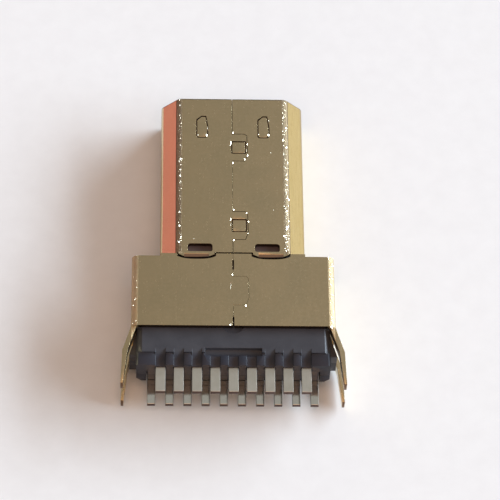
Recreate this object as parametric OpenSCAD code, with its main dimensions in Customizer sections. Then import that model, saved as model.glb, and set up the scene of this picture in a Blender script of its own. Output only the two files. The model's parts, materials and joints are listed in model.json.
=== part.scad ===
// Micro-size audio and video plug for the edge of a circuit board: a folded gold shell round moulded
// black plastic, and two rows of stamped contacts that fan out from the mating pitch to the solder tails.
// X runs across the plug, +Y points out of the mating mouth and +Z is the side with the shell's seam.
// Lengths named "back" are measured from the mating face towards the tails.

/* [Shell] */
// Width of the mating head
head_w = 5.83; // [5.5:0.01:6.4]
// Height of the shell, the same over the head and the rear body
shell_h = 2.2; // [2.1:0.01:2.6]
// Leg of the two long chamfers beside the seam face
chamfer = 0.72; // [0.5:0.01:0.85]
// Thickness of the shell's sheet
sheet = 0.2; // [0.14:0.01:0.24]
// Outer radius of the head's bends
head_bend = 0.3; // [0.25:0.01:0.45]
// Distance back to the rear edge of the head
head_len = 7.47; // [7:0.01:9]
// Width of the rear body
body_w = 8.08; // [7.8:0.01:9.2]
// Length of the rear body behind the slit
body_len = 3.33; // [3:0.01:4]
// Outer radius of the rear body's bends
body_bend = 0.26; // [0.25:0.01:0.4]
// Width of the slit between the head and the rear body
slit_w = 0.06; // [0.04:0.01:0.1]
// How far the body's outer shoulders stand back from the slit
shoulder_back = 0.12; // [0.05:0.01:0.2]

/* [Seam] */
// Width of the gap along the seam and round the head's keys
seam_w = 0.025; // [0.02:0.005:0.06]
// Width of the gap where the seam is pressed shut
tight_w = 0.012; // [0.01:0.002:0.02]
// How far the seam's front stretch leans over through the sheet
seam_lean = 0.08; // [0.06:0.01:0.12]
// Length of an interlocking key along the seam
key_len = 1.33; // [1:0.01:1.6]
// How far a key reaches across the seam
key_reach = 0.6; // [0.45:0.01:0.75]
// Corner cut of a key
key_corner = 0.09; // [0.04:0.01:0.12]
// Distance back to the first key
key1_back = 1.74; // [1:0.01:2.5]
// Strip of metal between the second key and the head's rear edge
key2_gap = 0.61; // [0.55:0.01:1]
// Distance from the slit back to the body's key
body_key_back = 1.06; // [0.9:0.01:1.1]
// Side of the square stake mark pressed into each key
stake = 0.62; // [0.5:0.01:0.66]
// Depth of the pressed marks' floor
press_depth = 0.015; // [0.01:0.005:0.03]
// Width of the groove that the press left round each mark
groove_w = 0.05; // [0.03:0.01:0.07]
// Depth of that groove
groove_d = 0.07; // [0.05:0.01:0.1]
// Width of the opened seam in front of the body's key
relief_w = 0.07; // [0.05:0.01:0.12]
// Distance from the slit back to the opened seam in front of the body's key
relief_back = 0.3; // [0.2:0.01:0.35]
// Length of each opened stretch of the seam
relief_len = 0.45; // [0.3:0.01:0.5]

/* [Face marks and windows] */
// How far the dimples, windows and lips lie off the seam's line
face_shift = 0.03; // [0:0.01:0.06]
// Distance from the seam to the middle of a dimple
dimple_x = 1.26; // [1:0.01:1.6]
// Width of a dimple
dimple_w = 0.5; // [0.35:0.01:0.6]
// Length of a dimple
dimple_len = 1.1; // [0.8:0.01:1.3]
// Distance back to the front end of a dimple
dimple_back = 0.84; // [0.6:0.01:1.2]
// Distance from the seam to the middle of a window
window_x = 1.35; // [1.2:0.01:1.5]
// Width of a window
window_w = 1; // [0.7:0.01:1.1]
// Length of a window
window_len = 0.37; // [0.2:0.01:0.5]
// Strip of metal left behind a window, before the slit
window_edge = 0.04; // [0.03:0.01:0.15]
// Distance from the seam to the middle of a lip
lip_x = 1.49; // [1.4:0.01:1.6]
// Width of a lip
lip_w = 1.44; // [1.2:0.01:1.6]
// How far a lip reaches past the head's rear edge
lip_reach = 0.18; // [0.1:0.01:0.24]
// Gap behind a lip at the middle of its arched notch
lip_gap = 0.14; // [0.08:0.01:0.3]

/* [Legs] */
// Height of each board-lock leg
leg_h = 0.46; // [0.3:0.01:0.55]
// Space between the upper and the lower leg of a side
leg_space = 0.98; // [0.7:0.01:1]
// How far the legs flare out from the shell's side
leg_flare = 0.33; // [0.05:0.01:0.4]
// Length of the flared root
leg_root = 1.08; // [0.7:0.01:1.2]
// Length of a leg behind the shell
leg_len = 2.52; // [2:0.01:2.6]
// Thickness of a leg's coined tip
leg_tip = 0.1; // [0.06:0.01:0.14]
// How far a leg's tip leans out past its knee
leg_lean = 0.05; // [0:0.01:0.15]

/* [Plastic] */
// Running clearance between plastic and metal
fit = 0.02; // [0.01:0.005:0.03]
// Distance back to the front of the moulding in the mouth
mouth_back = 0.55; // [0.3:0.01:1.2]
// Width of the cavity that takes the socket's tongue
cavity_w = 4.3; // [4.2:0.01:4.5]
// Height of that cavity
cavity_h = 0.88; // [0.87:0.005:0.95]
// Depth of that cavity behind the moulding's front
cavity_len = 4.9; // [4:0.01:5.5]
// Length of the moulding's flange inside the rear body
flange_len = 0.85; // [0.5:0.01:1]
// How far the full-height rear block stands out of the shell
block_out = 1.09; // [0.8:0.01:1.15]
// How far the comb step stands out behind the block
comb_out = 0.54; // [0.4:0.01:0.7]
// Drop from the block's top to the comb's ribs
comb_drop = 0.08; // [0.05:0.01:0.1]
// Plastic left over each upper tail, under the grooves of the comb
cover = 0.05; // [0.04:0.005:0.06]
// How far the sloping start of those grooves runs into the block
groove_in = 0.2; // [0.1:0.01:0.25]
// Corner cut along the sides of the rear block
block_corner = 0.22; // [0.15:0.01:0.4]
// Width of the pocket at the middle of the block's rear edge
pocket_w = 2.24; // [1.5:0.01:3]
// Depth of that pocket
pocket_d = 0.2; // [0.14:0.01:0.25]
// Width of the ear at each end of the comb
ear_w = 0.4; // [0.3:0.01:0.42]
// Height of the ears' lower edge above the shell's underside
ear_low = 0.62; // [0.58:0.01:0.64]
// Corner cut at the ears' lower end
ear_cut = 0.2; // [0.1:0.01:0.25]
// Width of the slot between an ear and the outermost lower tail
ear_slot = 0.05; // [0.03:0.01:0.08]
// Diameter of the round gate mark on the block
gate_d = 0.9; // [0.5:0.01:1.2]

/* [Contacts] */
// Width of the margin between the outermost beam and the cavity's side
beam_margin_w = 0.24; // [0.2:0.01:0.3]
// Width of the margin between the outermost tail and the rear body's side
tail_margin_w = 0.66; // [0.6:0.01:1]
// Thickness of the contact strip
blade = 0.2; // [0.12:0.01:0.2]
// Width of a mating beam
beam_w = 0.22; // [0.16:0.01:0.24]
// Width of a tail in the upper row
upper_tail_w = 0.39; // [0.3:0.01:0.42]
// Width of a tail in the lower row
lower_tail_w = 0.32; // [0.28:0.01:0.42]
// Thickness of the circuit board that the tails straddle
board = 0.83; // [0.8:0.01:0.86]
// Length of a tail behind the plastic
tail_len = 1.07; // [0.8:0.01:1.3]
// Distance back to the tip of a mating beam
tip_back = 1; // [0.8:0.01:1.4]
// How far a beam's crown bows into the cavity
bow = 0.27; // [0.15:0.01:0.29]

/* [Hidden] */
UPPER = 9;
LOWER = 10;
mate_pitch = (cavity_w - beam_w - 2 * beam_margin_w) / (LOWER - 1);
tail_pitch = (body_w - lower_tail_w - 2 * tail_margin_w) / (LOWER - 1);
key2_back = head_len - key2_gap - key_len;
gold = "darkgoldenrod";
black = "dimgray";
tin = "silver";
mid_z = shell_h / 2;
body_start = head_len + slit_w;
shell_end = head_len + body_len + slit_w;
block_end = shell_end + block_out;
comb_end = block_end + comb_out;
tail_end = comb_end + tail_len;
front_y = tail_end / 2;
upper_z = mid_z + (board + blade) / 2;
lower_z = mid_z - (board + blade) / 2;
chamfer_share = 2 - sqrt(2);
plastic_z = sheet + fit;
plastic_top = shell_h - plastic_z;
block_w = body_w - 2 * plastic_z;
rib_top = plastic_top - comb_drop;
groove_floor = upper_z + blade / 2 + fit + cover;
comb_low = lower_z + blade / 3;
parting = 0.01;
flange_room = 0.08;
flange_start = body_start + shoulder_back + flange_room;
wafer_start = flange_start + flange_len + fit;
fan_lead = 0.15;
fan_rest = 0.1;
fan_start = wafer_start + fan_lead;
fan_end = shell_end - fan_rest;
lug_low = mid_z - leg_space / 2 - leg_h / 3;
lug_high = mid_z + leg_space / 2;
lug_share = 0.85;
tip_room = 0.2;
gate_depth = 0.02;
soft = 0.05;
past = 0.05;
deep = 1;
arc_steps = 7;
bow_steps = 12;
bow_share = 0.62;
crown_at = 0.25;
tip_share = 0.45;
edge_loss = 0.42;
gate_steps = 32;
// Outline of a dimple, as shares of its width and length
DIMPLE_PLAN = [[-0.5, -0.5], [0.5, -0.5], [0.5, 0], [0.33, 0.5], [-0.06, 0.5], [-0.5, 0.33]];
DIMPLE_ROUND = [0.2, 0.3, 0.4, 0.1, 0.1, 0.2];
// Outline of a square, as shares of its side
SQUARE_PLAN = [[-0.5, -0.5], [0.5, -0.5], [0.5, 0.5], [-0.5, 0.5]];
SQUARE_ROUND = [0.08, 0.08, 0.08, 0.08];

// The Y of a point that lies the given distance back from the mating face
function at_back(d) = front_y - d;

function unit(v) = v / norm(v);

// Arc points that round the corner at b, between its neighbours a and c
function corner_arc(a, b, c, r) =
    let (u = unit(a - b), v = unit(c - b))
    let (half = acos(u * v) / 2)
    let (mid = b + unit(u + v) * r / sin(half))
    let (from = unit(b + u * r / tan(half) - mid), to = unit(b + v * r / tan(half) - mid))
    let (sweep = acos(from * to))
    [for (i = [0 : arc_steps])
        let (t = i / arc_steps)
        mid + r * (from * sin((1 - t) * sweep) + to * sin(t * sweep)) / sin(sweep)];

// Outline whose corners are rounded, each to its own radius
function rounded(points, radii) =
    let (n = len(points))
    [for (i = [0 : n - 1])
        each corner_arc(points[(i + n - 1) % n], points[i], points[(i + 1) % n], radii[i])];

// Closed outline of the head, with its chamfers beside the seam face
function head_outline(inset, cut, r) =
    let (x = head_w / 2 - inset, low = inset, high = shell_h - inset)
    rounded([[-x, low], [x, low], [x, high - cut], [x - cut, high], [cut - x, high], [-x, high - cut]],
            [r, r, r, r, r, r]);

// Closed outline of a plain block with rounded corners, between two heights
function block_outline(w, low, high, r) =
    rounded([[-w / 2, low], [w / 2, low], [w / 2, high], [-w / 2, high]], [r, r, r, r]);

// Stretches an outline drawn in X and Z between two distances back from the mating face
module along(front, rear) {
    translate([0, at_back(front), 0]) rotate([90, 0, 0]) linear_extrude(rear - front) children();
}

// Box given by its middle in X, its width, its two distances back and its two heights
module slab(x, w, front, rear, low, high) {
    translate([x - w / 2, at_back(rear), low]) cube([w, rear - front, high - low]);
}

// Thin cut of the given width through the seam face along a path of [x, back] points
module cut_path(path, w) {
    for (i = [0 : len(path) - 2]) {
        step = path[i + 1] - path[i];
        translate([path[i].x, at_back(path[i].y), shell_h - sheet - past])
            rotate(atan2(-step.y, step.x))
                translate([-w / 2, -w / 2, 0])
                    cube([norm(step) + w, w, sheet + 2 * past]);
    }
}

// Straight cut along the seam that leans over through the sheet, so that light can't pass
module leaning_cut(front, rear) {
    low = shell_h - sheet - past;
    high = shell_h + past;
    slope = seam_lean / sheet;
    along(front, rear)
        polygon([for (p = [[-seam_w / 2, high], [seam_w / 2, high], [seam_w / 2, low], [-seam_w / 2, low]])
            [p.x + slope * (shell_h - p.y), p.y]]);
}

// Seam path round one key that starts at the given distance back
function key_path(back) = [
    [0, back],
    [key_reach - key_corner, back],
    [key_reach, back + key_corner],
    [key_reach + key_corner / 4, back + key_len - 4 * key_corner],
    [key_reach - key_corner, back + key_len],
    [0, back + key_len]];

// Both halves of the head's tube with the slot for the seam left closed
module head_tube() {
    difference() {
        along(0, head_len) polygon(head_outline(0, chamfer, head_bend));
        along(-past, head_len + past)
            polygon(head_outline(sheet, chamfer - sheet * chamfer_share, head_bend - sheet));
    }
}

module body_tube() {
    difference() {
        along(body_start, shell_end) polygon(block_outline(body_w, 0, shell_h, body_bend));
        along(body_start - past, shell_end + past)
            polygon(block_outline(body_w - 2 * sheet, sheet, shell_h - sheet, body_bend - sheet));
        for (side = [-1, 1])
            slab(side * (head_w + body_w) / 4, (body_w - head_w) / 2 + past, body_start - past,
                 body_start + shoulder_back, -past, shell_h + past);
    }
}

// Floor panel that joins the head to the rear body, where the blank was never cut
module floor_web() {
    slab(0, head_w - 2 * head_bend, head_len - past, body_start + past, 0, sheet);
}

// Lip that reaches from the head's rear edge into a notch of the body, sloping down at its middle
module lip(x) {
    side_reach = lip_reach / 2;
    translate([x, at_back(head_len), shell_h - sheet])
        difference() {
            linear_extrude(sheet)
                polygon([[-lip_w / 2, past], [lip_w / 2, past], [lip_w / 2, -side_reach],
                         [lip_w / 2 - lip_reach, -lip_reach], [lip_reach - lip_w / 2, -lip_reach],
                         [-lip_w / 2, -side_reach]]);
            translate([-window_w / 2, 0, 0])
                rotate([90, 0, 90])
                    linear_extrude(window_w)
                        polygon([[0, sheet + past], [0, sheet], [-lip_reach - past, sheet / 2],
                                 [-lip_reach - past, sheet + past]]);
        }
}

// Arched notch in the body's front edge that takes a lip
module lip_notch(x) {
    deepest = lip_reach + lip_gap;
    translate([x, at_back(head_len), shell_h - sheet - past])
        linear_extrude(sheet + 2 * past)
            polygon(concat([[lip_w / 2 + slit_w, past], [-lip_w / 2 - slit_w, past]],
                [for (i = [0 : 2 * arc_steps])
                    let (t = i / arc_steps - 1)
                    [t * (lip_w / 2 + slit_w), -deepest * (1 - edge_loss * pow(abs(t), 3))]]));
}

module window(x) {
    back = head_len - window_edge - window_len / 2;
    front_r = window_len / 3;
    rear_r = window_len / 5;
    translate([x, at_back(back), shell_h - sheet - past])
        linear_extrude(sheet + 2 * past)
            polygon(rounded([for (p = SQUARE_PLAN) [p.x * window_w, p.y * window_len]],
                            [rear_r, rear_r, front_r, front_r]));
}

// Shallow pressed mark with a groove round it, given by its plan's shares and its two sides
module press_mark(x, back, plan, rounds, w, length) {
    inner_w = w - 2 * groove_w;
    inner_len = length - 2 * groove_w;
    translate([x, at_back(back), shell_h]) {
        translate([0, 0, -press_depth])
            linear_extrude(deep)
                polygon(rounded([for (p = plan) [p.x * w, p.y * length]], rounds * w));
        translate([0, 0, -groove_d])
            difference() {
                linear_extrude(groove_d)
                    polygon(rounded([for (p = plan) [p.x * w, p.y * length]], rounds * w));
                translate([0, 0, -past])
                    linear_extrude(deep)
                        polygon(rounded([for (p = plan) [p.x * inner_w, p.y * inner_len]], rounds * inner_w));
            }
    }
}

// Oblong mark near the mating end
module dimple(x) {
    press_mark(x, dimple_back + dimple_len / 2, DIMPLE_PLAN, DIMPLE_ROUND, dimple_w, dimple_len);
}

// Square mark that stakes a key in place
module stake_mark(back) {
    press_mark(stake / 2 - key_corner / 2, back + key_len / 2, SQUARE_PLAN, SQUARE_ROUND, stake, stake);
}

// Board-lock leg of one side: a strip of the shell's wall that flares out and runs straight back
module leg(side, low) {
    x = body_w / 2;
    knee = [x + leg_flare, shell_end + leg_root];
    tip = [x + leg_flare + leg_lean, shell_end + leg_len];
    outer = [[x, shell_end - past], [x, shell_end], knee, tip];
    inner = [tip - [leg_tip, 0], knee - [sheet, 0], [x - sheet, shell_end], [x - sheet, shell_end - past]];
    translate([0, 0, low])
        linear_extrude(leg_h)
            polygon([for (p = concat(outer, inner)) [side * p.x, at_back(p.y)]]);
}

module shell() {
    body_key = body_start + body_key_back;
    color(gold)
        difference() {
            union() {
                head_tube();
                difference() {
                    body_tube();
                    for (side = [-1, 1]) lip_notch(side * lip_x + face_shift);
                }
                floor_web();
                for (side = [-1, 1]) {
                    lip(side * lip_x + face_shift);
                    leg(side, mid_z + leg_space / 2);
                    leg(side, mid_z - leg_space / 2 - leg_h);
                }
            }
            leaning_cut(-past, key1_back + seam_w);
            cut_path(key_path(key1_back), seam_w);
            cut_path([[0, key1_back + key_len], [0, key2_back]], tight_w);
            cut_path(key_path(key2_back), seam_w);
            cut_path([[0, key2_back + key_len], [0, head_len + past]], seam_w);
            cut_path([[0, head_len], [0, body_key]], tight_w);
            cut_path(key_path(body_key), tight_w);
            cut_path([[0, body_key + key_len], [0, shell_end + past]], tight_w);
            for (front = [body_start + relief_back, shell_end - relief_len + past])
                slab(0, relief_w, front, front + relief_len, shell_h - sheet - past, shell_h + past);
            for (side = [-1, 1]) {
                window(side * window_x + face_shift);
                dimple(side * dimple_x + face_shift);
            }
            for (back = [key1_back, key2_back]) stake_mark(back);
        }
}

// Outline of one contact seen from the seam side: a beam, a fanned stretch and a tail
module blade_plan(mate_x, tail_x, tail_w) {
    rear = at_back(tail_end);
    left = [[mate_x - beam_w / 2, at_back(tip_back)], [mate_x - beam_w / 2, at_back(fan_start)],
            [tail_x - tail_w / 2, at_back(fan_end)], [tail_x - tail_w / 2, rear]];
    right = [[tail_x + tail_w / 2, rear], [tail_x + tail_w / 2, at_back(fan_end)],
             [mate_x + beam_w / 2, at_back(fan_start)], [mate_x + beam_w / 2, at_back(tip_back)]];
    polygon(concat(left, right));
}

// Middle line of a contact seen from its side, as [back, height towards the plug's middle]
function bow_line() = [for (i = [0 : bow_steps])
    let (t = i / bow_steps)
    [tip_back + t * cavity_len * bow_share,
     t < crown_at ? bow * (tip_share + (1 - tip_share) * sin(90 * t / crown_at))
                  : bow * (1 + cos(180 * (t - crown_at) / (1 - crown_at))) / 2]];

// Bent strip seen from the side, for a contact whose middle line ends flat at the height z
module blade_side(z, toward) {
    line = concat(bow_line(), [[tail_end, 0]]);
    far = [for (p = line) [at_back(p.x), z + toward * p.y - blade / 2]];
    near = [for (i = [len(line) - 1 : -1 : 0]) [at_back(line[i].x), z + toward * line[i].y + blade / 2]];
    polygon(concat(far, near));
}

// One stamped and bent contact
module contact(mate_x, tail_x, tail_w, z, toward) {
    color(tin)
        intersection() {
            translate([0, 0, z - blade / 2 - deep]) linear_extrude(blade + 2 * deep)
                blade_plan(mate_x, tail_x, tail_w);
            translate([-body_w / 2, 0, 0]) rotate([90, 0, 90]) linear_extrude(body_w)
                blade_side(z, toward);
        }
}

module upper_contact(i) {
    place = i - (UPPER - 1) / 2;
    contact(place * mate_pitch, place * tail_pitch, upper_tail_w, upper_z, -1);
}

module lower_contact(i) {
    place = i - (LOWER - 1) / 2;
    contact(place * mate_pitch, place * tail_pitch, lower_tail_w, lower_z, 1);
}

// Room for one row of contacts, cut through the moulding in the mating head
module head_channels(count, z) {
    for (i = [0 : count - 1])
        slab((i - (count - 1) / 2) * mate_pitch, beam_w + 2 * fit, tip_back - tip_room, wafer_start + past,
             z - blade / 2 - fit, z + blade / 2 + fit);
}

// Room for one row of contacts, cut through the wafer that carries it
module wafer_channels(count, z, tail_w) {
    for (i = [0 : count - 1]) {
        place = i - (count - 1) / 2;
        translate([0, 0, z - blade / 2 - fit])
            linear_extrude(blade + 2 * fit)
                polygon([for (p = [[place * mate_pitch - beam_w / 2 - fit, wafer_start - past],
                                   [place * mate_pitch - beam_w / 2 - fit, fan_start],
                                   [place * tail_pitch - tail_w / 2 - fit, fan_end],
                                   [place * tail_pitch - tail_w / 2 - fit, comb_end + past],
                                   [place * tail_pitch + tail_w / 2 + fit, comb_end + past],
                                   [place * tail_pitch + tail_w / 2 + fit, fan_end],
                                   [place * mate_pitch + beam_w / 2 + fit, fan_start],
                                   [place * mate_pitch + beam_w / 2 + fit, wafer_start - past]])
                    [p.x, at_back(p.y)]]);
    }
}

// Moulding that fills the head and forms the cavity for the socket's tongue
module front_housing() {
    inset = plastic_z;
    r = max(head_bend - inset, soft);
    color(black)
        difference() {
            union() {
                along(mouth_back, flange_start + past)
                    polygon(head_outline(inset, chamfer - inset * chamfer_share, r));
                along(flange_start, flange_start + flange_len)
                    polygon(block_outline(block_w, plastic_z, plastic_top, soft));
            }
            slab(0, cavity_w, mouth_back - past, mouth_back + cavity_len, mid_z - cavity_h / 2,
                 mid_z + cavity_h / 2);
            head_channels(UPPER, upper_z);
            head_channels(LOWER, lower_z);
        }
}

// One side's half of the comb's outline, seen from behind, from its top middle round to its bottom middle
function comb_side() = [
    [block_w / 2 - comb_drop, rib_top],
    [block_w / 2, rib_top - comb_drop],
    [block_w / 2, ear_low + ear_cut],
    [block_w / 2 - ear_cut, ear_low],
    [block_w / 2 - ear_w, ear_low],
    [block_w / 2 - ear_w, comb_low]];

// Rear carrier before it is split at the middle plane
module rear_block() {
    w = block_w;
    cut = block_corner;
    ear_x = (w - ear_slot) / 2 - ear_w;
    sides = comb_side();
    difference() {
        union() {
            along(wafer_start, shell_end) polygon(block_outline(w, plastic_z, plastic_top, soft));
            along(shell_end - past, block_end)
                polygon([[-w / 2, plastic_z + cut], [cut - w / 2, plastic_z], [w / 2 - cut, plastic_z],
                         [w / 2, plastic_z + cut], [w / 2, plastic_top - cut], [w / 2 - cut, plastic_top],
                         [cut - w / 2, plastic_top], [-w / 2, plastic_top - cut]]);
            along(block_end - past, comb_end)
                polygon(concat(sides, [for (i = [len(sides) - 1 : -1 : 0]) [-sides[i].x, sides[i].y]]));
            for (side = [-1, 1]) side_lug(side);
        }
        for (side = [-1, 1])
            slab(side * ear_x, ear_slot, block_end, comb_end + past, 0, upper_z - blade);
    }
}

// Lug on the block's side that fills the space inside the flared legs
module side_lug(side) {
    x = block_w / 2;
    reach = leg_flare * lug_share;
    translate([0, 0, lug_low])
        linear_extrude(lug_high - lug_low)
            polygon([for (p = [[x - block_corner, shell_end + fit], [x, shell_end + fit],
                               [x + reach, block_end - past], [x - block_corner, block_end - past]])
                [side * p.x, at_back(p.y)]]);
}

// Groove of the comb over one upper tail, which slopes down out of the block's top
module comb_groove(x) {
    high = plastic_top + past;
    translate([x - upper_tail_w / 2, 0, 0])
        rotate([90, 0, 90])
            linear_extrude(upper_tail_w)
                polygon([for (p = [[block_end - groove_in, high], [block_end - groove_in, plastic_top],
                                   [block_end + groove_in, groove_floor], [comb_end + past, groove_floor],
                                   [comb_end + past, high]])
                    [at_back(p.x), p.y]]);
}

// Upper half of the rear carrier, with the comb of ribs between the upper tails
module upper_wafer() {
    color(black)
        difference() {
            rear_block();
            slab(0, 2 * body_w, 0, tail_end, -past, mid_z + parting / 2);
            wafer_channels(UPPER, upper_z, upper_tail_w);
            for (i = [0 : UPPER - 1]) comb_groove((i - (UPPER - 1) / 2) * tail_pitch);
            slab(0, pocket_w, block_end - pocket_d, block_end + pocket_d / 2, groove_floor, shell_h);
            translate([0, at_back(shell_end - gate_d / 4), plastic_top - gate_depth])
                cylinder(h = deep, d = gate_d, $fn = gate_steps);
        }
}

// Lower half of the rear carrier
module lower_wafer() {
    color(black)
        difference() {
            rear_block();
            slab(0, 2 * body_w, 0, tail_end, mid_z - parting / 2, shell_h + past);
            wafer_channels(LOWER, lower_z, lower_tail_w);
        }
}

shell();
front_housing();
upper_wafer();
lower_wafer();
for (i = [0 : UPPER - 1])
    upper_contact(i);
for (i = [0 : LOWER - 1])
    lower_contact(i);
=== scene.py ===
"""Looks of the micro-size plug: plated sheet, moulded plastic and tinned tails on a pale floor."""
import json
import math
import random
import bpy
from mathutils import Matrix, Vector

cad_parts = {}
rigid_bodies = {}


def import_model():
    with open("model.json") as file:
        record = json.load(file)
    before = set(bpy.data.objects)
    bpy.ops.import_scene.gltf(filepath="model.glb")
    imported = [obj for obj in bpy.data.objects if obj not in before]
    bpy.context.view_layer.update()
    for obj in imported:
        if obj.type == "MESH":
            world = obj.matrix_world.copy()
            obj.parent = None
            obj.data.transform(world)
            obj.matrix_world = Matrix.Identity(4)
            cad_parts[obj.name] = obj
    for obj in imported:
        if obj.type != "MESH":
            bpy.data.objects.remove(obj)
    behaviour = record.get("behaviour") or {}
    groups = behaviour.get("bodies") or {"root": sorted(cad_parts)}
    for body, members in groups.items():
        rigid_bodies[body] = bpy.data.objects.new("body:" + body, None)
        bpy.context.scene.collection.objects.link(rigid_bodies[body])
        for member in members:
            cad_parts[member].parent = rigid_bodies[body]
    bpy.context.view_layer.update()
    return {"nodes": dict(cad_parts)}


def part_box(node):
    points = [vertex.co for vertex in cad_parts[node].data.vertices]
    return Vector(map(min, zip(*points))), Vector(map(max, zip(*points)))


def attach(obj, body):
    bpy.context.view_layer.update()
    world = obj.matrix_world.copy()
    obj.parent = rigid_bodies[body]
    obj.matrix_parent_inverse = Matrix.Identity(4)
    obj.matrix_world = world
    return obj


MM = 0.001

# Start from an empty file, so that only the imported part and this scene's own things are in it
for leftover in list(bpy.data.objects):
    bpy.data.objects.remove(leftover, do_unlink=True)

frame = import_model()
nodes = frame["nodes"]
front_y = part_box("shell")[1].y
shell_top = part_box("shell")[1].z

# Camera, as the photograph was taken: from above and from the tail side
camera_tilt = math.radians(31.87)
camera_roll = math.radians(2.24)
camera_spin = math.radians(0.65)
camera_distance = 114.2 * MM
focal_in_frame_widths = 5.415
aim_across = 0.823 * MM
aim_along = -5.09 * MM
sensor = 36.0
clip_near = 1 * MM
clip_far = 5000 * MM

# Edge finish of the stamped and moulded pieces
shell_edge = 0.012 * MM
plastic_edge = 0.015 * MM
blade_edge = 0.015 * MM
edge_steps = 2
weld_distance = 0.0001 * MM
flat_angle = math.radians(0.2)
sharp_angle = math.radians(32)

# Light
floor_half = 400 * MM
room_grey = (0.33, 0.325, 0.315)
ceiling_colour = (1.54, 0.95, 0.62)
ceiling_towards = Vector((0, -0.342, 0.94))
ceiling_edge = (0.85, 0.95)
window_far = 2000 * MM
window_size = (2800 * MM, 635 * MM)
window_height = math.radians(20)
window_turn = math.radians(15)
window_power = 105.0
window_colour = (0.74, 0.88, 1.0)
card_place = (-19 * MM, 12 * MM, 0)
card_turn = math.radians(58)
card_size = (40 * MM, 6 * MM)

# Where the finishes change, in millimetres: across from the middle, back from the front and down from the
# top. A pair holds the two sides of a band, or where a change starts and where it is complete
head_length = 7.53
head_flat_half = 2.03
body_flat_half = 3.73
head_bend = (2.07, 2.26)
body_bend = (3.80, 4.00)
bend_depth = (0.3, 0.2)
bend_fade = 0.03
chamfer_start = (2.28, 2.31)
chamfer_depth = (0.80, 0.74)
# Painted reflection: a dark line where the bends meet the chamfers
chamfer_painted_line = (2.275, 2.305)
line_fade = 0.012
right_chamfer_start = (2.29, 2.31)
left_shade = (2.0, -4.0)
groove_depth = (0.035, 0.21)
groove_fade = 0.015
lips_back = (7.50, 7.83)
rim_back = (0.04, 0.02)
rim_depth = (0.8, 0.7)
walls_back = (10.98, 10.78)
cut_legs_back = (11.78, 11.98)
step_fade = 0.01
comb_back = (11.88, 12.03)
behind_windows_back = (8.28, 8.18)
behind_windows_depth = (0.3, 0.25)
lower_row_depth = (1.1, 1.2)
upper_row_depth = (1.2, 1.0)

# How squarely a face has to look back or aside to count as a cut end, a wall or a sheared side
looks_back = (-0.8, -0.95)
wall_looks_aside = (0.85, 0.97)
blade_looks_aside = (0.2, 0.5)

# How the noises are read, and how strongly they and the masks tint the plating
noise_span = (0.3, 0.7)
noise_middle = 0.5
cloud_span = (0.35, 0.65)
streak_span = (0.4, 0.7)
crack_span = (0.62, 0.45)
crack_share = (0.5, 1.0)
chamfer_streaks = (0.85, 1.0)
grain_share = 0.35
painted_left_shade_share = 0.35
body_wear = 0.35

# Colours of the plating
gold_pale = (0.77, 0.60, 0.35)
gold_deep = (0.70, 0.56, 0.33)
gold_grain = (0.83, 0.66, 0.43)
# Painted shade: the plating darkens towards the left, standing in for a dimmer reflection there
gold_painted_left_shade = (0.55, 0.41, 0.22)
gold_walls = (0.46, 0.35, 0.19)
gold_right_chamfer = (0.46, 0.33, 0.13)
gold_worn = (0.24, 0.175, 0.11)
# Painted reflection of the dark room, along the chamfers' edge
gold_painted_dark_line = (0.16, 0.115, 0.07)
gold_rim = (0.20, 0.15, 0.10)
bare_leg = (0.16, 0.09, 0.05)
# Painted shade in the grooves, and a greyer painted shade in the grooves at the lips
groove_painted_shade = (0.10, 0.06, 0.04)
lip_painted_shade = (0.12, 0.105, 0.095)
burr_deep = (0.84, 0.73, 0.54)
burr_pale = (0.95, 0.88, 0.72)

# Colours of the plastic, the tails and the stage
plastic_dark = (0.038, 0.038, 0.047)
plastic_light = (0.050, 0.050, 0.060)
plastic_comb = (0.015, 0.016, 0.027)
plastic_behind_windows = (0.085, 0.060, 0.060)
tin_deep = (0.69, 0.67, 0.58)
tin_pale = (0.77, 0.75, 0.67)
# Painted light: the lower row of tails gets a paler copy of the same tin
tin_lower_row_painted_light = (0.86, 0.84, 0.75)
tin_sheared = (0.17, 0.15, 0.13)
bare_tail = (0.10, 0.06, 0.05)
paper_deep = (0.84, 0.83, 0.835)
paper_pale = (0.87, 0.862, 0.867)
card_colour = (0.46, 0.175, 0.165)

# Roughness: pairs follow the noise, the streaks, bends, walls and upper row add theirs, the sheared sides
# have at least theirs, and the polish is the share that is left on the chamfers
gold_rough = (0.16, 0.24)
streak_rough = 0.06
bend_rough = 0.3
wall_rough = 0.2
chamfer_polish = 0.42
burr_rough = (0.12, 0.2)
plastic_rough = (0.38, 0.55)
tin_rough = (0.08, 0.13)
upper_row_rough = 0.25
sheared_rough = 0.4
paper_rough = 0.7
card_rough = 0.9

# Relief of the surfaces: heights, and how strongly they show
streak_relief = 0.002 * MM
wave_relief = 0.02 * MM
crack_relief = 0.03 * MM
plastic_relief = 0.004 * MM
tin_relief = 0.0015 * MM
soft_relief = 0.5
full_relief = 1.0

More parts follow.
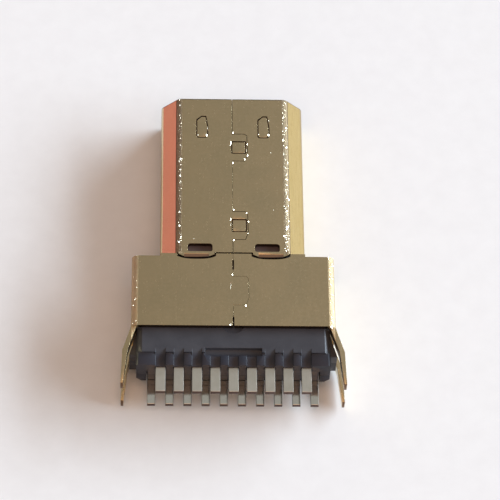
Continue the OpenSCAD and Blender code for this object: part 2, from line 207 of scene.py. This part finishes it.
# Burrs left by the press: millimetres to the right of the seam, back from the front, down from the top,
# half width, half length, and how squarely the burr faces the window
burrs = [
    # Along the seam and its keys
    (0.04, 1.68, 0, 0.04, 0.04, 1), (0.62, 2.25, 0, 0.03, 0.045, 0.9),
    (0.58, 2.55, 0, 0.02, 0.05, 0.4), (0.62, 2.81, 0, 0.03, 0.05, 0.9),
    (0.51, 3.00, 0, 0.035, 0.035, 1), (0.02, 3.17, 0, 0.025, 0.06, 0.8),
    (-0.07, 2.25, 0, 0.02, 0.18, 0.8), (0.04, 5.45, 0, 0.035, 0.035, 0.9),
    (0.55, 5.60, 0, 0.03, 0.03, 0.7), (0.63, 6.01, 0, 0.035, 0.04, 0.9),
    (0.61, 6.56, 0, 0.03, 0.03, 0.5), (0.03, 6.90, 0, 0.04, 0.04, 1),
    (-0.09, 5.91, 0, 0.02, 0.07, 0.8), (-0.09, 6.18, 0, 0.015, 0.12, 0.4),
    (-0.03, 8.52, 0, 0.04, 0.045, 0.6), (0.49, 9.96, 0, 0.055, 0.055, 1),
    (-0.13, 10.83, 0, 0.045, 0.04, 0.6), (-0.11, 9.12, 0, 0.015, 0.3, 0.4),
    # At the two pressed marks near the front, and on the flats
    (-1.05, 1.82, 0, 0.04, 0.055, 1), (-1.41, 1.80, 0, 0.03, 0.03, 0.5),
    (1.49, 1.78, 0, 0.035, 0.06, 1), (1.09, 1.75, 0, 0.03, 0.03, 0.4),
    (1.52, 1.07, 0, 0.02, 0.08, 0.4), (-1.02, 1.45, 0, 0.02, 0.08, 0.4),
    (1.57, 2.66, 0, 0.03, 0.04, 0.4), (1.65, 5.45, 0, 0.025, 0.025, 0.3),
    (-1.57, 6.85, 0, 0.06, 0.03, 0.3),
    # On the bends
    (2.17, 6.35, 0.02, 0.04, 0.04, 1), (2.18, 5.49, 0.02, 0.04, 0.04, 0.9),
    (2.06, 6.69, 0, 0.035, 0.035, 0.7), (2.08, 2.03, 0, 0.035, 0.035, 0.7),
    (2.22, 2.36, 0.04, 0.035, 0.05, 0.8), (2.28, 4.88, 0.08, 0.03, 0.06, 0.7),
    (-2.12, 2.99, 0, 0.035, 0.035, 0.7), (-2.13, 3.83, 0, 0.035, 0.035, 0.7),
    (-2.15, 6.23, 0.01, 0.035, 0.05, 0.8), (-2.16, 7.00, 0.01, 0.04, 0.04, 0.9),
    (3.87, 10.89, 0.02, 0.06, 0.05, 1),
]

# The form of every burr: its corners, half its thickness, how far it leans when it faces the window
# least, the share of the listed sizes that it gets, and the part of them that its upper face keeps
burr_sides = 8
burr_thick = 0.008 * MM
burr_lean = math.radians(13)
burr_scale = 0.85
burr_taper = 0.85

# Flakes of cracked plating on the bends: side, where the bend starts and ends, its radius, its first and
# last distance back from the front, all in millimetres, and how many flakes
flaked_bends = [
    (1, 2.08, 2.28, 0.3, 0.05, 7.4, 150), (-1, 2.08, 2.2, 0.3, 0.05, 7.4, 110),
    (1, 3.8, 4.0, 0.26, 7.6, 10.8, 40), (-1, 3.8, 4.0, 0.26, 7.6, 10.8, 24),
]
flake_size = (0.009, 0.02)
flake_squareness = (0.1, 0.9)
flake_seed = 11


def feed(tree, socket, value):
    """Links a node or an output to an input, or sets the input to a plain value."""
    if isinstance(value, bpy.types.Node):
        value = value.outputs[0]
    if isinstance(value, bpy.types.NodeSocket):
        tree.links.new(value, socket)
    elif socket.type == "RGBA":
        socket.default_value = (*value, 1.0)
    else:
        socket.default_value = value


def add_node(tree, kind, inputs=None, **settings):
    """Adds a shader node, sets its properties and links or sets its inputs."""
    made = tree.nodes.new(kind)
    for name, value in settings.items():
        setattr(made, name, value)
    for name, value in (inputs or {}).items():
        feed(tree, made.inputs[name], value)
    return made


def ramp(tree, value, low, high, out_low=0.0, out_high=1.0):
    """Maps one range to another, clamped."""
    limits = {"From Min": low, "From Max": high, "To Min": out_low, "To Max": out_high}
    return add_node(tree, "ShaderNodeMapRange", {"Value": value, **limits})


def between(tree, mask, outside, inside):
    """One value outside a mask and another inside it."""
    return ramp(tree, mask, 0.0, 1.0, outside, inside)


def band(tree, value, low, high, soft):
    """1 between two values, fading to 0 outside them."""
    return times(tree, ramp(tree, value, low - soft, low), ramp(tree, value, high, high + soft, 1.0, 0.0))


def maths(tree, operation, a, b=0.0):
    return add_node(tree, "ShaderNodeMath", {0: a, 1: b}, operation=operation)


def times(tree, first, *others):
    """The product of values: for masks, 1 only where all of them are 1."""
    for other in others:
        first = maths(tree, "MULTIPLY", first, other)
    return first


def plus(tree, first, *others):
    for other in others:
        first = maths(tree, "ADD", first, other)
    return first


def axis_parts(tree, vector):
    """A vector's parts across, along and up."""
    return add_node(tree, "ShaderNodeSeparateXYZ", {0: vector}).outputs


def normal_parts(tree):
    """The parts of the direction that the surface faces: across, along and up."""
    geometry = add_node(tree, "ShaderNodeNewGeometry")
    return axis_parts(tree, geometry.outputs["Normal"])


def measures(tree, place):
    """Millimetres to the right of the seam, back from the front and down from the top."""
    right, along, up = axis_parts(tree, place)
    back = maths(tree, "SUBTRACT", front_y / MM, along)
    down = maths(tree, "SUBTRACT", shell_top / MM, up)
    return right, back, down


def noise(tree, place, scale, detail=2.0, rough=0.5, stretch=(1, 1, 1)):
    """Noise whose scale counts features in a millimetre."""
    spread = add_node(tree, "ShaderNodeVectorMath", {0: place, 1: stretch}, operation="MULTIPLY")
    inputs = {"Vector": spread, "Scale": scale, "Detail": detail, "Roughness": rough}
    return add_node(tree, "ShaderNodeTexNoise", inputs).outputs[0]


def mix_colour(tree, share, a, b):
    return add_node(tree, "ShaderNodeMix", {0: share, 6: a, 7: b}, data_type="RGBA").outputs[2]


def layered(tree, base, *layers):
    """Lays colours over a base one after the other, each by its own mask."""
    for mask, colour in layers:
        base = mix_colour(tree, mask, base, colour)
    return base


def bump(tree, height, distance, strength, below=None):
    """Relief, on top of another relief if one is given."""
    inputs = {"Height": height, "Distance": distance, "Strength": strength}
    if below is not None:
        inputs["Normal"] = below
    return add_node(tree, "ShaderNodeBump", inputs)


def new_material(name):
    """An empty node material, its tree, its shader and its object coordinates in millimetres."""
    material = bpy.data.materials.new(name)
    material.use_nodes = True
    tree = material.node_tree
    tree.nodes.clear()
    output = tree.nodes.new("ShaderNodeOutputMaterial")
    shader = tree.nodes.new("ShaderNodeBsdfPrincipled")
    tree.links.new(shader.outputs[0], output.inputs["Surface"])
    coords = add_node(tree, "ShaderNodeTexCoord")
    place = add_node(tree, "ShaderNodeVectorMath", {0: coords.outputs["Object"], 1: (1 / MM,) * 3},
                     operation="MULTIPLY")
    return material, tree, shader, place


def feed_shader(tree, shader, colour, rough, metal=0.0, relief=None):
    feed(tree, shader.inputs["Base Color"], colour)
    feed(tree, shader.inputs["Roughness"], rough)
    shader.inputs["Metallic"].default_value = metal
    if relief is not None:
        feed(tree, shader.inputs["Normal"], relief)


def shell_masks(tree, place):
    """Where the shell's finish changes: masks that are 1 inside each place and 0 outside."""
    right, back, down = measures(tree, place)
    faces_right, faces_front, _ = normal_parts(tree)
    across = maths(tree, "ABSOLUTE", right)
    on_head = ramp(tree, back, head_length + step_fade, head_length - step_fade)
    on_body = ramp(tree, back, head_length - step_fade, head_length + step_fade)
    flat_half = between(tree, on_body, head_flat_half, body_flat_half)
    high = ramp(tree, down, *bend_depth)
    head_bends = times(tree, on_head, band(tree, across, *head_bend, bend_fade))
    body_bends = times(tree, on_body, band(tree, across, *body_bend, bend_fade))
    return {
        "body": on_body,
        # Painted shade, growing towards the left
        "left": ramp(tree, right, *left_shade),
        "cut legs": times(tree, ramp(tree, faces_front, *looks_back), ramp(tree, back, *cut_legs_back)),
        "grooves": times(tree, band(tree, down, *groove_depth, groove_fade),
                         maths(tree, "LESS_THAN", across, flat_half)),
        "lips": band(tree, back, *lips_back, step_fade),
        "walls": times(tree, ramp(tree, maths(tree, "ABSOLUTE", faces_right), *wall_looks_aside),
                       ramp(tree, back, *walls_back)),
        "chamfers": times(tree, on_head, ramp(tree, across, *chamfer_start),
                          ramp(tree, down, *chamfer_depth)),
        "right chamfer": times(tree, on_head, ramp(tree, right, *right_chamfer_start)),
        "bends": times(tree, plus(tree, head_bends, body_bends), high),
        "painted chamfer line": times(tree, on_head, band(tree, across, *chamfer_painted_line, line_fade), high),
        "rim": times(tree, ramp(tree, back, *rim_back), ramp(tree, down, *rim_depth)),
    }


def gold_material():
    """Thin gold over nickel: painted olive shade towards the left, with drawing lines, painted shade in the
    grooves, a painted dark line along the chamfers and rough bends.
    """
    material, tree, shader, place = new_material("gold_plate")
    masks = shell_masks(tree, place)
    cloud = noise(tree, place, scale=0.7, detail=3.0)
    grain = noise(tree, place, scale=9.0, detail=3.0, rough=0.6)
    streak = noise(tree, place, scale=1.0, detail=4.0, rough=0.6, stretch=(16, 1.2, 16))
    speck = noise(tree, place, scale=26.0, detail=2.0, rough=0.6)

    # Painted shade in the seam and the pressed marks' grooves, and cracked plating on the bends
    painted_groove_shade = mix_colour(tree, masks["lips"], groove_painted_shade, lip_painted_shade)
    worn = times(tree, masks["bends"], ramp(tree, speck, *crack_span, *crack_share),
                 between(tree, masks["body"], 1.0, body_wear))
    streaked = times(tree, masks["right chamfer"], ramp(tree, streak, *noise_span, *chamfer_streaks))
    base = mix_colour(tree, ramp(tree, cloud, *cloud_span), gold_pale, gold_deep)
    base = layered(
        tree, base,
        (ramp(tree, grain, *noise_span, 0.0, grain_share), gold_grain),
        # Painted shade towards the left of the flats
        (between(tree, masks["left"], 0.0, painted_left_shade_share), gold_painted_left_shade),
        (masks["cut legs"], bare_leg),
        # Painted shade in the grooves
        (masks["grooves"], painted_groove_shade),
        (masks["walls"], gold_walls),
        (streaked, gold_right_chamfer),
        (worn, gold_worn),
        # Painted dark reflection line along the chamfers
        (masks["painted chamfer line"], gold_painted_dark_line),
        (masks["rim"], gold_rim),
    )

    rough = plus(tree, ramp(tree, grain, *noise_span, *gold_rough),
                 ramp(tree, streak, *streak_span, 0.0, streak_rough))
    rough = times(tree, rough, between(tree, masks["chamfers"], 1.0, chamfer_polish))
    rough = plus(tree, rough, between(tree, masks["bends"], 0.0, bend_rough),
                 between(tree, masks["walls"], 0.0, wall_rough))

    lines = bump(tree, streak, streak_relief, soft_relief)
    waves = bump(tree, cloud, wave_relief, soft_relief, lines)
    cracked = times(tree, masks["bends"], maths(tree, "SUBTRACT", speck, noise_middle))
    cracks = bump(tree, cracked, crack_relief, full_relief, waves)
    feed_shader(tree, shader, base, rough, metal=1.0, relief=cracks)
    return material


def burr_material():
    """Freshly polished plating, slightly uneven."""
    material, tree, shader, place = new_material("burr_gold")
    grain = noise(tree, place, scale=30.0)
    base = mix_colour(tree, ramp(tree, grain, *noise_span), burr_deep, burr_pale)
    feed_shader(tree, shader, base, ramp(tree, grain, *noise_span, *burr_rough), metal=1.0)
    return material


def black_material():
    """Glass-filled moulded plastic: dark grey with a soft satin skin."""
    material, tree, shader, place = new_material("black_plastic")
    _, back, down = measures(tree, place)
    cloud = noise(tree, place, scale=1.5, detail=3.0)
    grain = noise(tree, place, scale=22.0, detail=3.0, rough=0.6)
    behind_windows = times(tree, ramp(tree, down, *behind_windows_depth),
                           ramp(tree, back, *behind_windows_back))
    base = layered(
        tree, mix_colour(tree, ramp(tree, cloud, *noise_span), plastic_dark, plastic_light),
        (ramp(tree, back, *comb_back), plastic_comb),
        (behind_windows, plastic_behind_windows),
    )
    feed_shader(tree, shader, base, ramp(tree, grain, *noise_span, *plastic_rough),
                relief=bump(tree, grain, plastic_relief, soft_relief))
    return material


def tin_material():
    """Tin on the strip's faces, duller sheared sides, and bare brown metal where the tails were cut off."""
    material, tree, shader, place = new_material("tin_plate")
    down = measures(tree, place)[2]
    faces_right, faces_front, _ = normal_parts(tree)
    cloud = noise(tree, place, scale=2.5, detail=3.0)
    grain = noise(tree, place, scale=14.0, detail=3.0, rough=0.6)
    sheared = ramp(tree, maths(tree, "ABSOLUTE", faces_right), *blade_looks_aside)
    base = layered(
        tree, mix_colour(tree, ramp(tree, cloud, *noise_span), tin_deep, tin_pale),
        # Painted light: paler tin on the lower row
        (ramp(tree, down, *lower_row_depth), tin_lower_row_painted_light),
        (sheared, tin_sheared),
        (ramp(tree, faces_front, *looks_back), bare_tail),
    )
    rough = plus(tree, ramp(tree, grain, *noise_span, *tin_rough),
                 ramp(tree, down, *upper_row_depth, 0.0, upper_row_rough))
    rough = maths(tree, "MAXIMUM", rough, between(tree, sheared, 0.0, sheared_rough))
    feed_shader(tree, shader, base, rough, metal=1.0,
                relief=bump(tree, grain, tin_relief, soft_relief))
    return material


def paper_material():
    """Smooth matt paper."""
    material, tree, shader, place = new_material("paper")
    fibre = noise(tree, place, scale=1.2, detail=4.0, rough=0.6)
    base = mix_colour(tree, ramp(tree, fibre, *noise_span), paper_deep, paper_pale)
    feed_shader(tree, shader, base, paper_rough)
    return material


def card_material():
    material, tree, shader, _ = new_material("card")
    feed_shader(tree, shader, card_colour, card_rough)
    return material


def smooth_nodes():
    """Geometry nodes that smooth a mesh but keep its edges sharp past one angle."""
    group = bpy.data.node_groups.new("smooth_by_angle", "GeometryNodeTree")
    group.interface.new_socket("Geometry", in_out="INPUT", socket_type="NodeSocketGeometry")
    group.interface.new_socket("Geometry", in_out="OUTPUT", socket_type="NodeSocketGeometry")
    source = group.nodes.new("NodeGroupInput")
    result = group.nodes.new("NodeGroupOutput")
    angle = group.nodes.new("GeometryNodeInputMeshEdgeAngle")
    gentle = group.nodes.new("FunctionNodeCompare")
    gentle.operation = "LESS_THAN"
    gentle.inputs[1].default_value = sharp_angle
    free = group.nodes.new("GeometryNodeSetMeshNormal")
    free.mode = "SHARPNESS"
    free.inputs["Remove Custom"].default_value = True
    faces = group.nodes.new("GeometryNodeSetShadeSmooth")
    edges = group.nodes.new("GeometryNodeSetShadeSmooth")
    edges.domain = "EDGE"
    link = group.links.new
    link(source.outputs[0], free.inputs["Mesh"])
    link(free.outputs[0], faces.inputs["Geometry"])
    link(faces.outputs[0], edges.inputs["Geometry"])
    link(angle.outputs[0], gentle.inputs[0])
    link(gentle.outputs[0], edges.inputs["Shade Smooth"])
    link(edges.outputs[0], result.inputs[0])
    return group


def soften_edges(obj, width, smoothing):
    """Gives a carried-over node small rounded edges and smooth bends."""
    weld = obj.modifiers.new("weld", "WELD")
    weld.merge_threshold = weld_distance
    flats = obj.modifiers.new("flats", "DECIMATE")
    flats.decimate_type = "DISSOLVE"
    flats.angle_limit = flat_angle
    edge = obj.modifiers.new("edge", "BEVEL")
    edge.width = width
    edge.segments = edge_steps
    edge.limit_method = "ANGLE"
    edge.angle_limit = sharp_angle
    edge.use_clamp_overlap = True
    shade = obj.modifiers.new("shade", "NODES")
    shade.node_group = smoothing
    obj.modifiers.new("weights", "WEIGHTED_NORMAL")


def dress():
    """Puts materials and softened edges on the carried-over nodes."""
    gold = gold_material()
    black = black_material()
    tin = tin_material()
    smoothing = smooth_nodes()
    for name, obj in nodes.items():
        if name == "shell":
            finish, width = gold, shell_edge
        elif "contact" in name:
            finish, width = tin, blade_edge
        else:
            finish, width = black, plastic_edge
        obj.data.materials.clear()
        obj.data.materials.append(finish)
        soften_edges(obj, width, smoothing)


def new_object(name, data):
    made = bpy.data.objects.new(name, data)
    bpy.context.scene.collection.objects.link(made)
    return made


def new_mesh_object(name, points, faces, material):
    mesh = bpy.data.meshes.new(name)
    mesh.from_pydata(points, [], faces)
    mesh.materials.append(material)
    return new_object(name, mesh)


def flakes():
    """Random flakes on the bends, in the form of the burrs."""
    draw = random.Random(flake_seed)
    made = []
    for side, start, end, radius, first, last, count in flaked_bends:
        for _ in range(count):
            across = draw.uniform(start, end)
            over = min(across - start, radius)
            down = radius - math.sqrt(radius ** 2 - over ** 2)
            made.append((side * across, draw.uniform(first, last), down, draw.uniform(*flake_size),
                         draw.uniform(*flake_size), draw.uniform(*flake_squareness)))
    return made


def add_burr(points, faces, middle, normal, half_width, half_length):
    """Adds the corners and faces of one flat nick, whose shiny upper face is a little smaller."""
    side = Vector((0, 1, 0)).cross(normal).normalized()
    length = normal.cross(side)
    low = len(points)
    high = low + burr_sides
    for height, spread in ((-1, 1.0), (1, burr_taper)):
        for i in range(burr_sides):
            turn = 2 * math.pi * i / burr_sides
            reach = side * math.cos(turn) * half_width + length * math.sin(turn) * half_length
            points.append(middle + reach * spread + normal * height * burr_thick)
    faces.append([high + i for i in range(burr_sides)])
    faces.append([low + i for i in reversed(range(burr_sides))])
    for i in range(burr_sides):
        j = (i + 1) % burr_sides
        faces.append([low + i, low + j, high + j, high + i])


def make_burrs():
    """Small polished nicks that catch the window, half sunk in the sheet's surface."""
    points, faces = [], []
    facing = (camera_direction() + window_direction()).normalized()
    level = facing.cross(Vector((0, 0, 1)))
    for right, back, down, half_width, half_length, square in burrs + flakes():
        middle = Vector((right * MM, front_y - back * MM, shell_top - down * MM))
        normal = Matrix.Rotation((1 - square) * burr_lean, 3, level) @ facing
        add_burr(points, faces, middle, normal, half_width * burr_scale * MM, half_length * burr_scale * MM)
    made = new_mesh_object("press_burrs", points, faces, burr_material())
    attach(made, "root")


def make_floor():
    h = floor_half
    corners = [(-h, -h, 0), (h, -h, 0), (h, h, 0), (-h, h, 0)]
    floor = new_mesh_object("floor", corners, [(0, 1, 2, 3)], paper_material())


def make_room():
    """Even grey room with a warm ceiling above and behind the camera."""
    world = bpy.data.worlds.new("room")
    bpy.context.scene.world = world
    world.use_nodes = True
    tree = world.node_tree
    coords = add_node(tree, "ShaderNodeTexCoord")
    facing = add_node(tree, "ShaderNodeVectorMath", {0: coords.outputs["Generated"], 1: ceiling_towards},
                      operation="DOT_PRODUCT")
    share = ramp(tree, facing.outputs["Value"], *ceiling_edge)
    room = mix_colour(tree, share, room_grey, ceiling_colour)
    feed(tree, tree.nodes["Background"].inputs["Color"], room)


def window_direction():
    level = math.cos(window_height)
    return Vector((level * math.cos(window_turn), level * math.sin(window_turn), math.sin(window_height)))


def make_window():
    """One wide soft light, low on the right and a little beyond the plug's mouth."""
    lamp = bpy.data.lights.new("window", "AREA")
    lamp.shape = "RECTANGLE"
    lamp.size, lamp.size_y = window_size
    lamp.energy = window_power
    lamp.color = window_colour
    window = new_object("window", lamp)
    window.location = window_direction() * window_far
    window.rotation_euler = (-window_direction()).to_track_quat("-Z", "Y").to_euler()


def make_card():
    """Red-brown card at the left that only reflections show, as the plug's left chamfer does."""
    w, h = card_size
    corners = [(-w / 2, 0, 0), (w / 2, 0, 0), (w / 2, 0, h), (-w / 2, 0, h)]
    card = new_mesh_object("card", corners, [(0, 1, 2, 3)], card_material())
    card.location = card_place
    card.rotation_euler.z = card_turn
    card.visible_camera = False
    card.visible_shadow = False
    card.visible_diffuse = False


def camera_direction():
    """From the plug towards the camera."""
    return Vector((-math.sin(camera_roll) * math.cos(camera_tilt), -math.sin(camera_tilt),
                   math.cos(camera_roll) * math.cos(camera_tilt)))


def make_camera():
    right = Vector((math.cos(camera_roll), 0, math.sin(camera_roll)))
    back = camera_direction()
    up = back.cross(right)
    turned_right = right * math.cos(camera_spin) - up * math.sin(camera_spin)
    turned_up = right * math.sin(camera_spin) + up * math.cos(camera_spin)
    place = (Vector((0, front_y, 0)) + turned_right * aim_across + turned_up * aim_along
             + back * camera_distance)
    lens = bpy.data.cameras.new("camera")
    lens.sensor_width = sensor
    lens.lens = focal_in_frame_widths * sensor
    lens.clip_start = clip_near
    lens.clip_end = clip_far
    camera = new_object("camera", lens)
    turn = Matrix((turned_right, turned_up, back)).transposed().to_4x4()
    camera.matrix_world = Matrix.Translation(place) @ turn
    bpy.context.scene.camera = camera


bpy.context.scene.view_settings.view_transform = "Standard"
dress()
make_burrs()
make_floor()
make_room()
make_window()
make_card()
make_camera()
